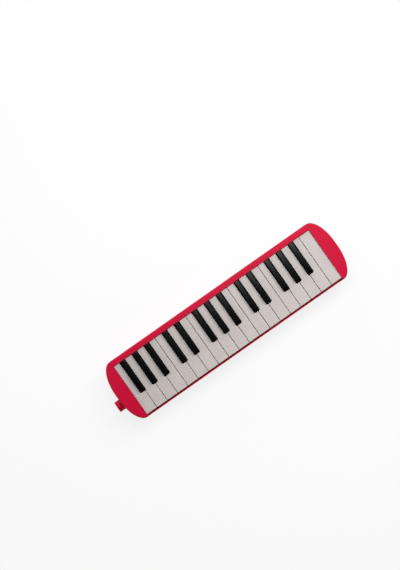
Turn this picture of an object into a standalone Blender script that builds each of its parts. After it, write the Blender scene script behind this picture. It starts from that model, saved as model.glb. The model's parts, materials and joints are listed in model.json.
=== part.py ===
"""A 32-key melodica: a two-shell case, sprung piano keys on one axle, a sealed wind chest with reed plates,
a mouthpiece socket and a drain valve. Metres, +Z up, +X towards the high notes, +Y away from the player.
The origin is the centre of the flat base."""

import math

import bmesh
import bpy
from mathutils import Matrix, Vector

# Keyboard, seen from above
WHITE_PITCH = 0.0198
WHITE_GAP = 0.0008
WHITE_LENGTH = 0.092
BLACK_WIDTH = 0.0098
BLACK_TOP_WIDTH = 0.0074
BLACK_LENGTH = 0.0583
BLACK_SIDE_GAP = 0.0005
OUTER_BLACK_SHIFT_OF_THREE = 0.0034
OUTER_BLACK_SHIFT_OF_TWO = 0.0018
BLACK_NOSE_ROUND = 0.0025
NOTCH_CHAMFER = 0.0013
REAR_GAP = 0.0005

# Keyboard, seen from the side
WHITE_SKIRT = 0.008
WHITE_PLATE = 0.0022
SKIRT_WALL = 0.0016
WHITE_EDGE_ROUND = 0.0006
BLACK_RISE = 0.006
BLACK_REAR_DROP = 0.0015
BLACK_NOSE_SLOPE = 0.0032
BLACK_EDGE_ROUND = 0.0011
KEY_DIP_ANGLE = math.radians(4.0)

# Key levers and their axle
AXLE_SETBACK = 0.020
AXLE_RADIUS = 0.0015
AXLE_HOLE_RADIUS = 0.00185
LEVER_WIDTH = 0.005
BOSS_RADIUS = 0.0032
BOSS_CLEARANCE = 0.0005
LEVER_FRONT_REACH = 0.014
LEVER_REAR_REACH = 0.008
SKIRT_CLEARANCE = 0.0006
TAIL_HEIGHT = 0.0038
PAD_WIDTH = 0.0086
PAD_LENGTH = 0.011
PAD_THICKNESS = 0.002
WELD_DEPTH = 0.0008

# Case
END_CAP_LENGTH = 0.0232
FRONT_RAIL_GAP = 0.0014
REAR_RIM_DEPTH = 0.0096
CORNER_ALONG = 0.022
CORNER_ACROSS = 0.048
CASE_WALL = 0.0024
FLOOR_THICKNESS = 0.0024
COVER_PLATE = 0.0024
COVER_ABOVE_KEYS = 0.0025
TOP_FILLET = 0.0025
BASE_FILLET = 0.005
OPENING_SIDE_GAP = 0.0004
FASCIA_THICKNESS = 0.0018
FASCIA_CLEARANCE = 0.0006
RAIL_OVERLAP = 0.001
CORNER_STEPS = 9
FILLET_STEPS = 3
NOSE_STEPS = 2

# Wind chest
RIB_HEIGHT = 0.0045
RIB_THICKNESS = 0.002
RIB_COUNT = 5
TRAY_FLOOR = 0.002
TRAY_WALL = 0.0022
CHAMBER_HEIGHT = 0.012
CHEST_FRONT_GAP = 0.0141
CHEST_REAR_GAP = 0.001
CHEST_END_MARGIN = 0.001
GASKET_THICKNESS = 0.0008
BLOCK_THICKNESS = 0.006
PORT_WIDTH = 0.0062
PORT_LENGTH = 0.008
PORT_DEPTH = 0.0026
POCKET_WIDTH = 0.007
EAR_THICKNESS = 0.0022
EAR_SPAN = 4
REED_PLATE_THICKNESS = 0.001
REED_SLOT_WIDTH = 0.0042
REED_WIDTH = 0.0034
REED_THICKNESS = 0.0006
LONGEST_REED = 0.034
SHORTEST_REED = 0.014
REED_TIP_GAP = 0.0008
REED_ROOT = 0.005

# Springs and felt
SPRING_THICKNESS = 0.0004
SPRING_STRIP_DEPTH = 0.005
SPRING_STRIP_SETBACK = 0.0018
SPRING_FINGER_WIDTH = 0.0026
SPRING_FINGER_REACH = 0.011
FELT_RAIL_GAP = 0.0008
FELT_WIDTH = 0.003
FELT_THICKNESS = 0.002

# Mouthpiece socket
SOCKET_RADIUS = 0.0091
SOCKET_MOUTH_RADIUS = 0.0061
SOCKET_TAPER_END_RADIUS = 0.0054
SOCKET_TAPER_DEPTH = 0.020
AIR_PASSAGE_RADIUS = 0.0045
SOCKET_REACH = 0.0092
SOCKET_FORWARD_OFFSET = 0.0135
SOCKET_FLANGE_RADIUS = 0.0106
SOCKET_FLANGE_THICKNESS = 0.002
SOCKET_EDGE_ROUND = 0.0008
ELBOW_RADIUS = 0.005
ELBOW_WALL = 0.0016
SEAL_RADIUS = 0.0058
SEAL_THICKNESS = 0.0016

# Drain valve
DRAIN_FROM_END = 0.0125
DRAIN_FROM_REAR = 0.0291
DRAIN_BUTTON_RADIUS = 0.0045
DRAIN_BUTTON_RECESS = 0.0006
DRAIN_FLANGE_RADIUS = 0.006
DRAIN_FLANGE_THICKNESS = 0.0008
DRAIN_STEM_RADIUS = 0.0018
DRAIN_HOLE_RADIUS = 0.0026
DRAIN_DISC_RADIUS = 0.005
DRAIN_DISC_THICKNESS = 0.0026
DRAIN_STEM_ENTRY = 0.0014
DRAIN_SPRING_RADIUS = 0.0036
DRAIN_SPRING_WIRE = 0.00025
DRAIN_SPRING_TURNS = 2

# Screws
SCREW_RADIUS = 0.0014
SCREW_HEAD_RADIUS = 0.0026
SCREW_HEAD_HEIGHT = 0.0015
SCREW_BITE = 0.006
SCREW_RECESS_FLOOR = 0.0022
BOSS_WALL = 0.0018
END_SCREW_OFFSET = 0.009
FRONT_END_SCREW_INSET = 0.0185
REAR_END_SCREW_INSET = 0.0165
SOCKET_SCREW_SPACING = 0.0215
RAIL_SCREW_SETBACK = 0.007
RAIL_SCREW_X = 0.095
RAIL_LUG_THICKNESS = 0.002
RAIL_LUG_CLEARANCE = 0.0006
CHEST_END_SCREW_OFFSET = 0.0062
CHEST_FRONT_SCREW_OFFSET = 0.0045
CHEST_FRONT_SCREW_X = 0.104
CHEST_SCREW_BITE = 0.005

# Fits
SEAT = 0.0003
RUNNING_GAP = 0.0004
CUT_MARGIN = 0.001
ROUND_STEPS = 10
SMALL_ROUND_STEPS = 8
SOCKET_STEPS = 14

NOTES = "F Fsharp G Gsharp A Asharp B C Csharp D Dsharp E".split()
KEY_COUNT = 32
FIRST_OCTAVE = 3
SEMITONES_FROM_C = 5

# Derived plan sizes
WHITE_TOTAL = sum(1 for k in range(KEY_COUNT) if "sharp" not in NOTES[k % len(NOTES)])
HALF_KEYBOARD = WHITE_TOTAL * WHITE_PITCH / 2
HALF_LENGTH = HALF_KEYBOARD + END_CAP_LENGTH
CASE_DEPTH = CASE_WALL + FRONT_RAIL_GAP + WHITE_LENGTH + REAR_RIM_DEPTH
FRONT_Y = -CASE_DEPTH / 2
REAR_Y = CASE_DEPTH / 2
RIM_FACE_Y = REAR_Y - REAR_RIM_DEPTH
KEY_FRONT_Y = FRONT_Y + CASE_WALL + FRONT_RAIL_GAP
KEY_REAR_Y = RIM_FACE_Y - REAR_GAP
BLACK_FRONT_Y = RIM_FACE_Y - BLACK_LENGTH
AXLE_Y = RIM_FACE_Y - AXLE_SETBACK
OPENING_HALF = HALF_KEYBOARD + OPENING_SIDE_GAP

# Derived bosses: a wide one holds a sunk screw head, a slim one a screw's shank
WIDE_BOSS = SCREW_HEAD_RADIUS + SEAT + BOSS_WALL
SLIM_BOSS = SCREW_RADIUS + SEAT + BOSS_WALL
SCREW_RECESS_FLOOR_Z = FLOOR_THICKNESS + SCREW_RECESS_FLOOR

# Derived places of the end screws
SOCKET_Y = -SOCKET_FORWARD_OFFSET
FRONT_END_SCREW_Y = FRONT_Y + FRONT_END_SCREW_INSET
MIDDLE_END_SCREW_Y = SOCKET_Y + SOCKET_SCREW_SPACING
REAR_END_SCREW_Y = REAR_Y - REAR_END_SCREW_INSET
CHEST_END_SCREW_Y = (MIDDLE_END_SCREW_Y + REAR_END_SCREW_Y) / 2

# Derived chest plan
FELT_Y = FRONT_Y + RAIL_SCREW_SETBACK + SLIM_BOSS + FELT_RAIL_GAP + FELT_WIDTH / 2
CHEST_FRONT_Y = FELT_Y + FELT_WIDTH / 2 + CHEST_FRONT_GAP
CHEST_REAR_Y = REAR_Y - CASE_WALL - CHEST_REAR_GAP
CHEST_HALF = HALF_KEYBOARD + CHEST_END_MARGIN
REED_TIP_Y = CHEST_REAR_Y - TRAY_WALL - 2 * SEAT - REED_TIP_GAP
PORT_CENTRE_Y = REED_TIP_Y - PORT_LENGTH / 2
TAIL_LENGTH = PORT_CENTRE_Y + PAD_LENGTH / 2 - AXLE_Y
DRAIN_X = CHEST_HALF - DRAIN_FROM_END
DRAIN_Y = CHEST_REAR_Y - DRAIN_FROM_REAR

# Derived heights, from the base up
TRAY_BOTTOM_Z = FLOOR_THICKNESS + RIB_HEIGHT + SEAT
TRAY_FLOOR_Z = TRAY_BOTTOM_Z + TRAY_FLOOR
TRAY_RIM_Z = TRAY_FLOOR_Z + CHAMBER_HEIGHT
GASKET_Z = TRAY_RIM_Z + SEAT
BLOCK_BOTTOM_Z = GASKET_Z + GASKET_THICKNESS + SEAT
BLOCK_TOP_Z = BLOCK_BOTTOM_Z + BLOCK_THICKNESS
AXLE_Z = BLOCK_TOP_Z + BOSS_RADIUS + BOSS_CLEARANCE
PAD_BOTTOM = BLOCK_TOP_Z + SEAT - AXLE_Z
TAIL_BOTTOM = PAD_BOTTOM + PAD_THICKNESS
TAIL_TOP = TAIL_BOTTOM + TAIL_HEIGHT
SKIRT_BOTTOM = BOSS_RADIUS + SKIRT_CLEARANCE
WHITE_TOP = SKIRT_BOTTOM + WHITE_SKIRT
PLATE_UNDERSIDE = WHITE_TOP - WHITE_PLATE
BLACK_TOP = WHITE_TOP + BLACK_RISE
BLACK_FRONT_GAP = RUNNING_GAP + WHITE_TOP * math.sin(KEY_DIP_ANGLE)
COVER_TOP_Z = AXLE_Z + WHITE_TOP + COVER_ABOVE_KEYS
FASCIA_BOTTOM_Z = AXLE_Z + TAIL_TOP + TAIL_LENGTH * math.sin(KEY_DIP_ANGLE) + FASCIA_CLEARANCE
RAIL_TOP_Z = AXLE_Z + SKIRT_BOTTOM + RAIL_OVERLAP
INLET_Z = TRAY_FLOOR_Z + CHAMBER_HEIGHT / 2
DIPPED_SKIRT_Z = AXLE_Z + SKIRT_BOTTOM - (AXLE_Y - KEY_FRONT_Y) * math.sin(KEY_DIP_ANGLE)
COVER_BOTTOM_Z = DIPPED_SKIRT_Z - RAIL_LUG_CLEARANCE - RAIL_LUG_THICKNESS
PARTING_Z = COVER_BOTTOM_Z - SEAT
SOCKET_Z = (PARTING_Z + COVER_BOTTOM_Z) / 2

FINISHES = {
    "case_red": ((0.52, 0.005, 0.028), 0.3, 0.0),
    "key_white": ((0.62, 0.57, 0.54), 0.35, 0.0),
    "key_black": ((0.006, 0.005, 0.005), 0.22, 0.0),
    "chest_plastic": ((0.55, 0.53, 0.48), 0.5, 0.0),
    "reed_brass": ((0.62, 0.43, 0.16), 0.3, 1.0),
    "steel": ((0.56, 0.56, 0.58), 0.3, 1.0),
    "seal_rubber": ((0.03, 0.03, 0.032), 0.75, 0.0),
    "felt": ((0.16, 0.02, 0.03), 0.95, 0.0),
}


def clear_scene():
    for obj in list(bpy.data.objects):
        bpy.data.objects.remove(obj)


def finish_material(name):
    found = bpy.data.materials.get(name)
    if found:
        return found
    colour, roughness, metallic = FINISHES[name]
    made = bpy.data.materials.new(name)
    made.use_nodes = True
    shader = made.node_tree.nodes["Principled BSDF"]
    shader.inputs["Base Color"].default_value = (*colour, 1.0)
    shader.inputs["Roughness"].default_value = roughness
    shader.inputs["Metallic"].default_value = metallic
    return made


def place(name, mesh, finish, location=(0, 0, 0)):
    """Adds one named piece to the scene, with its own finish."""
    obj = bpy.data.objects.new(name, mesh)
    bpy.context.scene.collection.objects.link(obj)
    obj.location = location
    if not mesh.materials:
        mesh.materials.append(finish_material(finish))
    return obj


def mesh_of(bm, smooth_angle=None):
    bmesh.ops.recalc_face_normals(bm, faces=bm.faces)
    mesh = bpy.data.meshes.new("piece")
    bm.to_mesh(mesh)
    bm.free()
    if smooth_angle is not None:
        mesh.shade_smooth()
        mesh.set_sharp_from_angle(angle=smooth_angle)
    return mesh


def combined(base, other, operation):
    """The mesh that a Boolean of two meshes leaves."""
    first = bpy.data.objects.new("base", base)
    second = bpy.data.objects.new("operand", other)
    for obj in (first, second):
        bpy.context.scene.collection.objects.link(obj)
    modifier = first.modifiers.new("combine", "BOOLEAN")
    modifier.operation = operation
    modifier.object = second
    evaluated = first.evaluated_get(bpy.context.evaluated_depsgraph_get())
    made = bpy.data.meshes.new_from_object(evaluated)
    for obj in (first, second):
        bpy.data.objects.remove(obj)
    return made


def joined(base, *others):
    for other in others:
        base = combined(base, other, "UNION")
    return base


def cut(base, *cutters):
    for cutter in cutters:
        base = combined(base, cutter, "DIFFERENCE")
    return base


def add_box(bm, low, high):
    size = Vector(high) - Vector(low)
    middle = (Vector(high) + Vector(low)) / 2
    matrix = Matrix.Translation(middle) @ Matrix.Diagonal((*size, 1.0))
    return bmesh.ops.create_cube(bm, size=1.0, matrix=matrix)["verts"]


def boxes(*corners):
    bm = bmesh.new()
    for low, high in corners:
        add_box(bm, low, high)
    return mesh_of(bm)


def add_rod(bm, start, end, radius, steps=ROUND_STEPS):
    """A closed round bar from start to end, which lie on a line along one of the axes."""
    along = Vector(end) - Vector(start)
    turn = Vector((0, 0, 1)).rotation_difference(along).to_matrix().to_4x4()
    matrix = Matrix.Translation((Vector(start) + Vector(end)) / 2) @ turn
    bmesh.ops.create_cone(
        bm, cap_ends=True, segments=steps, radius1=radius, radius2=radius, depth=along.length, matrix=matrix
    )


def rods(*bars, steps=ROUND_STEPS):
    bm = bmesh.new()
    for start, end, radius in bars:
        add_rod(bm, start, end, radius, steps)
    return mesh_of(bm)


def lofted(rings, closed=False):
    """Skins rings of points in turn. An open run gets a cap on its first and last ring."""
    bm = bmesh.new()
    loops = [[bm.verts.new(point) for point in ring] for ring in rings]
    for lower, upper in zip(loops, loops[1:] + loops[:1] if closed else loops[1:]):
        for i in range(len(lower)):
            bm.faces.new((lower[i - 1], lower[i], upper[i], upper[i - 1]))
    if not closed:
        bm.faces.new(loops[0])
        bm.faces.new(loops[-1])
    return mesh_of(bm)


def turned(profile, steps, origin, axis="Z"):
    """Spins a closed profile of (radius, height) points about an axis through origin."""
    bm = bmesh.new()
    verts = [bm.verts.new((radius, 0, height)) for radius, height in profile]
    edges = [bm.edges.new((verts[i - 1], verts[i])) for i in range(len(verts))]
    bmesh.ops.spin(
        bm, geom=verts + edges, cent=(0, 0, 0), axis=(0, 0, 1), angle=math.tau, steps=steps, use_merge=True
    )
    bmesh.ops.remove_doubles(bm, verts=bm.verts, dist=1e-6)
    if axis == "X":
        bm.transform(Matrix.Rotation(math.pi / 2, 4, "Y"))
    bm.transform(Matrix.Translation(origin))
    return mesh_of(bm, math.radians(40))


def arc(radius, start, end, steps):
    """Points (cos, sin) times radius from start to end, in degrees."""
    angles = [math.radians(start + (end - start) * i / steps) for i in range(steps + 1)]
    return [(radius * math.cos(a), radius * math.sin(a)) for a in angles]


def case_ring(inset, z):
    """The case's plan outline, a rectangle with elliptical corners, moved in by inset."""
    half_x, half_y = HALF_LENGTH - inset, CASE_DEPTH / 2 - inset
    along, across = CORNER_ALONG - inset, CORNER_ACROSS - inset
    points = []
    for sign_x, sign_y, start in ((1, 1, 0), (-1, 1, 90), (-1, -1, 180), (1, -1, 270)):
        for c, s in arc(1.0, start, start + 90, CORNER_STEPS - 1):
            x = sign_x * (half_x - along) + along * c
            y = sign_y * (half_y - across) + across * s
            points.append((x, y, z))
    return points


def end_wall_x(y, inset):
    """How far from the middle the case's end wall is at y, on the outline moved in by inset."""
    along, across = CORNER_ALONG - inset, CORNER_ACROSS - inset
    into_corner = max(0.0, abs(y) - (CASE_DEPTH / 2 - inset - across)) / across
    return HALF_LENGTH - inset - along + along * math.sqrt(1 - into_corner**2)


def rectangle_ring(half_x, y_front, y_rear, z):
    return [(-half_x, y_front, z), (half_x, y_front, z), (half_x, y_rear, z), (-half_x, y_rear, z)]


def fillet_rings(radius, z_flat, towards_flat):
    """Rings that round the case's edge over onto the level z_flat."""
    rings = []
    for c, s in arc(radius, 0, 90, FILLET_STEPS):
        rings.append(case_ring(radius - c, z_flat + towards_flat * (s - radius)))
    return rings


def key_layout():
    """For each key: its name, its note, whether it is black, its lever's x and, for a white key, its edges."""
    keys = []
    slot = -1
    for k in range(KEY_COUNT):
        note = NOTES[k % len(NOTES)]
        octave = FIRST_OCTAVE + (k + SEMITONES_FROM_C) // len(NOTES)
        black = "sharp" in note
        slot += not black
        left = -HALF_KEYBOARD + slot * WHITE_PITCH
        keys.append({"name": f"key_{note}{octave}", "note": note, "black": black, "left": left})
    shifts = {
        "Fsharp": -OUTER_BLACK_SHIFT_OF_THREE,
        "Gsharp": 0.0,
        "Asharp": OUTER_BLACK_SHIFT_OF_THREE,
        "Csharp": -OUTER_BLACK_SHIFT_OF_TWO,
        "Dsharp": OUTER_BLACK_SHIFT_OF_TWO,
    }
    reach = BLACK_WIDTH / 2 + BLACK_SIDE_GAP
    for key in keys:
        if key["black"]:
            key["x"] = key["left"] + WHITE_PITCH + shifts[key["note"]]
    for i, key in enumerate(keys):
        if key["black"]:
            continue
        low, high = key["left"] + WHITE_GAP / 2, key["left"] + WHITE_PITCH - WHITE_GAP / 2
        before = keys[i - 1] if i else None
        after = keys[i + 1] if i + 1 < len(keys) else None
        rear_low = before["x"] + reach if before and before["black"] else low
        rear_high = after["x"] - reach if after and after["black"] else high
        key["x"] = (rear_low + rear_high) / 2
        key["edges"] = (low - key["x"], high - key["x"], rear_low - key["x"], rear_high - key["x"])
    return keys


def key_lever():
    """The lever under a key, from the side: a web down to the axle boss and a tail back to the pad."""
    top = PLATE_UNDERSIDE + WELD_DEPTH
    rise = math.degrees(math.asin(TAIL_BOTTOM / BOSS_RADIUS))
    boss = arc(BOSS_RADIUS, 180, 360 + rise, SMALL_ROUND_STEPS // 2)
    outline = [(-LEVER_FRONT_REACH, top), *boss, (TAIL_LENGTH, TAIL_BOTTOM), (TAIL_LENGTH, TAIL_TOP)]
    outline += [(LEVER_REAR_REACH + TAIL_HEIGHT, TAIL_TOP), (LEVER_REAR_REACH, top)]
    sides = [[(x, y, z) for y, z in outline] for x in (-LEVER_WIDTH / 2, LEVER_WIDTH / 2)]
    lever = lofted(sides)
    pad_low = (-PAD_WIDTH / 2, TAIL_LENGTH - PAD_LENGTH, PAD_BOTTOM)
    pad_high = (PAD_WIDTH / 2, TAIL_LENGTH + SEAT, TAIL_BOTTOM + WELD_DEPTH)
    return joined(lever, boxes((pad_low, pad_high)))


def axle_bore():
    reach = LEVER_WIDTH
    return rods(((-reach, 0, 0), (reach, 0, 0), AXLE_HOLE_RADIUS), steps=SMALL_ROUND_STEPS)


def hollow_underside(bm):
    """Opens a key cap from below, leaving its side walls and its top plate."""
    bmesh.ops.recalc_face_normals(bm, faces=bm.faces)
    bottom = min(bm.faces, key=lambda f: f.calc_center_median().z)
    bmesh.ops.inset_region(bm, faces=[bottom], thickness=SKIRT_WALL)
    raised = bmesh.ops.extrude_face_region(bm, geom=[bottom])["geom"]
    bmesh.ops.delete(bm, geom=[bottom], context="FACES_ONLY")
    inner_verts = [v for v in raised if isinstance(v, bmesh.types.BMVert)]
    bmesh.ops.translate(bm, verts=inner_verts, vec=(0, 0, PLATE_UNDERSIDE - SKIRT_BOTTOM))


def white_key_cap(edges):
    """A white key's hollow top: a wide front, and a rear cut back on each side that has a black key."""
    low, high, rear_low, rear_high = edges
    front, rear = KEY_FRONT_Y - AXLE_Y, KEY_REAR_Y - AXLE_Y
    notch = BLACK_FRONT_Y - BLACK_FRONT_GAP - AXLE_Y
    outline = [(low, front), (high, front)]
    if rear_high < high:
        chamfer = min(NOTCH_CHAMFER, (high - rear_high) / 2)
        outline += [(high, notch), (rear_high + chamfer, notch), (rear_high, notch + chamfer)]
    outline += [(rear_high, rear), (rear_low, rear)]
    if rear_low > low:
        chamfer = min(NOTCH_CHAMFER, (rear_low - low) / 2)
        outline += [(rear_low, notch + chamfer), (rear_low - chamfer, notch), (low, notch)]
    bm = bmesh.new()
    top = bm.faces.new([bm.verts.new((x, y, WHITE_TOP)) for x, y in outline])
    sunk = bmesh.ops.extrude_face_region(bm, geom=[top])["geom"]
    bottom_verts = [v for v in sunk if isinstance(v, bmesh.types.BMVert)]
    bmesh.ops.translate(bm, verts=bottom_verts, vec=(0, 0, -WHITE_SKIRT))
    hollow_underside(bm)
    rim = [e for e in bm.edges if all(abs(v.co.z - WHITE_TOP) < 1e-7 for v in e.verts)]
    bmesh.ops.bevel(bm, geom=rim, offset=WHITE_EDGE_ROUND, segments=1, profile=0.5, affect="EDGES")
    return mesh_of(bm)


def nose_ring(half, front, rear, z):
    """A black key's plan outline: square at the rear, with the two corners of its nose rounded."""
    left = [(x - half + BLACK_NOSE_ROUND, y) for x, y in arc(BLACK_NOSE_ROUND, 180, 270, NOSE_STEPS)]
    right = [(x + half - BLACK_NOSE_ROUND, y) for x, y in arc(BLACK_NOSE_ROUND, 270, 360, NOSE_STEPS)]
    nose = [(x, y + front + BLACK_NOSE_ROUND, z) for x, y in left + right]
    return [*nose, (half, rear, z), (-half, rear, z)]


def black_key_cap():
    """A black key's hollow top: upright between its neighbours, then a tapered ridge with a sloped nose,
    highest behind the nose."""
    front, rear = BLACK_FRONT_Y - AXLE_Y, KEY_REAR_Y - AXLE_Y
    rings = [nose_ring(BLACK_WIDTH / 2, front, rear, z) for z in (SKIRT_BOTTOM, WHITE_TOP)]
    crest = front + BLACK_NOSE_SLOPE
    fall = BLACK_REAR_DROP / (rear - crest)
    ridge = nose_ring(BLACK_TOP_WIDTH / 2, crest, rear, BLACK_TOP)
    rings.append([(x, y, z - fall * (y - crest)) for x, y, z in ridge])
    bm = bmesh.new()
    bm.from_mesh(lofted(rings))
    hollow_underside(bm)

    def rounds(edge):
        a, b = (v.co for v in edge.verts)
        on_top = min(a.z, b.z) > BLACK_TOP - BLACK_REAR_DROP - CUT_MARGIN
        return on_top and min(a.y, b.y) < rear - CUT_MARGIN

    edges = [e for e in bm.edges if rounds(e)]
    bmesh.ops.bevel(bm, geom=edges, offset=BLACK_EDGE_ROUND, segments=2, profile=0.5, affect="EDGES")
    return mesh_of(bm)


def build_keys(keys):
    lever, bore = key_lever(), axle_bore()
    meshes = {}
    for key in keys:
        shape = "black" if key["black"] else tuple(round(edge, 7) for edge in key["edges"])
        if shape not in meshes:
            cap = black_key_cap() if key["black"] else white_key_cap(key["edges"])
            meshes[shape] = cut(joined(cap, lever), bore)
        finish = "key_black" if key["black"] else "key_white"
        place(key["name"], meshes[shape], finish, (key["x"], AXLE_Y, AXLE_Z))


def ear_positions(keys):
    """Between keys, one ear for every few of them, and one beyond each end key."""
    xs = [key["x"] for key in keys]
    between = [(xs[i - 1] + xs[i]) / 2 for i in range(EAR_SPAN, len(xs), EAR_SPAN)]
    outside = LEVER_WIDTH / 2 + RUNNING_GAP + EAR_THICKNESS / 2
    return [xs[0] - outside, *between, xs[-1] + outside]


def build_axle(keys):
    ears = ear_positions(keys)
    reach = EAR_THICKNESS / 2
    bar = ((ears[0] - reach, AXLE_Y, AXLE_Z), (ears[-1] + reach, AXLE_Y, AXLE_Z), AXLE_RADIUS)
    place("key_axle", rods(bar, steps=SMALL_ROUND_STEPS), "steel")


def reed_length(index):
    """Low notes have long reeds and high notes short ones."""
    return LONGEST_REED + (SHORTEST_REED - LONGEST_REED) * index / (KEY_COUNT - 1)


def chest_screws():
    """(x, y) of the screws that hold the reed block down on the lower case."""
    end_x = CHEST_HALF + CHEST_END_SCREW_OFFSET
    front_y = CHEST_FRONT_Y - CHEST_FRONT_SCREW_OFFSET
    return [
        (-end_x, CHEST_END_SCREW_Y),
        (end_x, CHEST_END_SCREW_Y),
        (-CHEST_FRONT_SCREW_X, front_y),
        (CHEST_FRONT_SCREW_X, front_y),
    ]


def build_reed_block(keys):
    """The board that the pads close: a reed pocket and a port for each key, and ears for the axle."""
    low, high = (-CHEST_HALF, CHEST_FRONT_Y, BLOCK_BOTTOM_Z), (CHEST_HALF, CHEST_REAR_Y, BLOCK_TOP_Z)
    block = boxes((low, high))
    lugs = []
    for x, y in chest_screws():
        inner_x = min(abs(x) - SLIM_BOSS, CHEST_HALF - WELD_DEPTH)
        inner_y = max(y + SLIM_BOSS, CHEST_FRONT_Y + WELD_DEPTH)
        low_x, high_x = sorted(math.copysign(reach, x) for reach in (inner_x, abs(x) + SLIM_BOSS))
        lugs.append(((low_x, y - SLIM_BOSS, BLOCK_BOTTOM_Z), (high_x, inner_y, BLOCK_TOP_Z)))
    ears = []
    for x in ear_positions(keys):
        low = (x - EAR_THICKNESS / 2, AXLE_Y - BOSS_RADIUS, BLOCK_TOP_Z - WELD_DEPTH)
        ears.append((low, (x + EAR_THICKNESS / 2, AXLE_Y + BOSS_RADIUS, AXLE_Z + BOSS_RADIUS)))
    pockets, ports = [], []
    for i, key in enumerate(keys):
        x, tip, port_floor = key["x"], REED_TIP_Y, BLOCK_TOP_Z - PORT_DEPTH
        low = (x - POCKET_WIDTH / 2, tip - reed_length(i), BLOCK_BOTTOM_Z - CUT_MARGIN)
        pockets.append((low, (x + POCKET_WIDTH / 2, tip, port_floor)))
        low = (x - PORT_WIDTH / 2, PORT_CENTRE_Y - PORT_LENGTH / 2 + SEAT, port_floor - CUT_MARGIN)
        high = (x + PORT_WIDTH / 2, PORT_CENTRE_Y + PORT_LENGTH / 2 - SEAT, BLOCK_TOP_Z + CUT_MARGIN)
        ports.append((low, high))
    bores = [
        ((x, y, BLOCK_BOTTOM_Z - CUT_MARGIN), (x, y, BLOCK_TOP_Z + CUT_MARGIN), SCREW_RADIUS + SEAT)
        for x, y in chest_screws()
    ]
    axle_line = ((-HALF_LENGTH, AXLE_Y, AXLE_Z), (HALF_LENGTH, AXLE_Y, AXLE_Z), AXLE_HOLE_RADIUS)
    axle_hole = rods(axle_line, steps=SMALL_ROUND_STEPS)
    block = joined(block, boxes(*lugs), boxes(*ears))
    block = cut(block, boxes(*pockets), boxes(*ports), rods(*bores), axle_hole)
    place("reed_block", block, "chest_plastic")


def build_tray():
    inner_half = CHEST_HALF - TRAY_WALL
    front, rear = CHEST_FRONT_Y, CHEST_REAR_Y
    inner = (inner_half, front + TRAY_WALL, rear - TRAY_WALL)
    tray = lofted(
        [
            rectangle_ring(CHEST_HALF, front, rear, TRAY_BOTTOM_Z),
            rectangle_ring(CHEST_HALF, front, rear, TRAY_RIM_Z),
            rectangle_ring(*inner, TRAY_RIM_Z),
            rectangle_ring(*inner, TRAY_FLOOR_Z),
        ]
    )
    inlet_reach = TRAY_WALL + CUT_MARGIN
    holes = rods(
        (
            (-CHEST_HALF - CUT_MARGIN, SOCKET_Y, INLET_Z),
            (-CHEST_HALF + inlet_reach, SOCKET_Y, INLET_Z),
            AIR_PASSAGE_RADIUS,
        ),
        (
            (DRAIN_X, DRAIN_Y, TRAY_BOTTOM_Z - CUT_MARGIN),
            (DRAIN_X, DRAIN_Y, TRAY_FLOOR_Z + CUT_MARGIN),
            DRAIN_HOLE_RADIUS,
        ),
    )
    place("chamber_tray", cut(tray, holes), "chest_plastic")


def build_gasket():
    inner = (CHEST_HALF - TRAY_WALL, CHEST_FRONT_Y + TRAY_WALL, CHEST_REAR_Y - TRAY_WALL)
    outer = (CHEST_HALF, CHEST_FRONT_Y, CHEST_REAR_Y)
    top = GASKET_Z + GASKET_THICKNESS
    rings = [rectangle_ring(*outer, GASKET_Z), rectangle_ring(*outer, top)]
    rings += [rectangle_ring(*inner, top), rectangle_ring(*inner, GASKET_Z)]
    place("chamber_gasket", lofted(rings, closed=True), "seal_rubber")


def build_reed_plate(name, keys, first, last):
    """A brass plate with a slot for each note, and a reed fixed at its root that speaks through it."""
    top = BLOCK_BOTTOM_Z - SEAT
    bottom = top - REED_PLATE_THICKNESS
    xs = [key["x"] for key in keys]
    edge = POCKET_WIDTH / 2 + SEAT
    low_x, high_x = xs[first] - edge, xs[last] + edge
    front = REED_TIP_Y - reed_length(first) - REED_ROOT - REED_TIP_GAP
    rear = REED_TIP_Y + REED_TIP_GAP
    plate = boxes(((low_x, front, bottom), (high_x, rear, top)))
    slots, reeds = [], []
    for i in range(first, last + 1):
        root = REED_TIP_Y - reed_length(i)
        slot_low = (xs[i] - REED_SLOT_WIDTH / 2, root + REED_TIP_GAP, bottom - CUT_MARGIN)
        slots.append((slot_low, (xs[i] + REED_SLOT_WIDTH / 2, REED_TIP_Y - REED_TIP_GAP, top + CUT_MARGIN)))
        low = (xs[i] - REED_WIDTH / 2, root - REED_ROOT + REED_TIP_GAP, bottom - REED_THICKNESS / 2)
        high = (xs[i] + REED_WIDTH / 2, REED_TIP_Y - 2 * REED_TIP_GAP, bottom + REED_THICKNESS / 2)
        reeds.append((low, high))
    place(name, joined(cut(plate, boxes(*slots)), boxes(*reeds)), "reed_brass")


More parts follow.
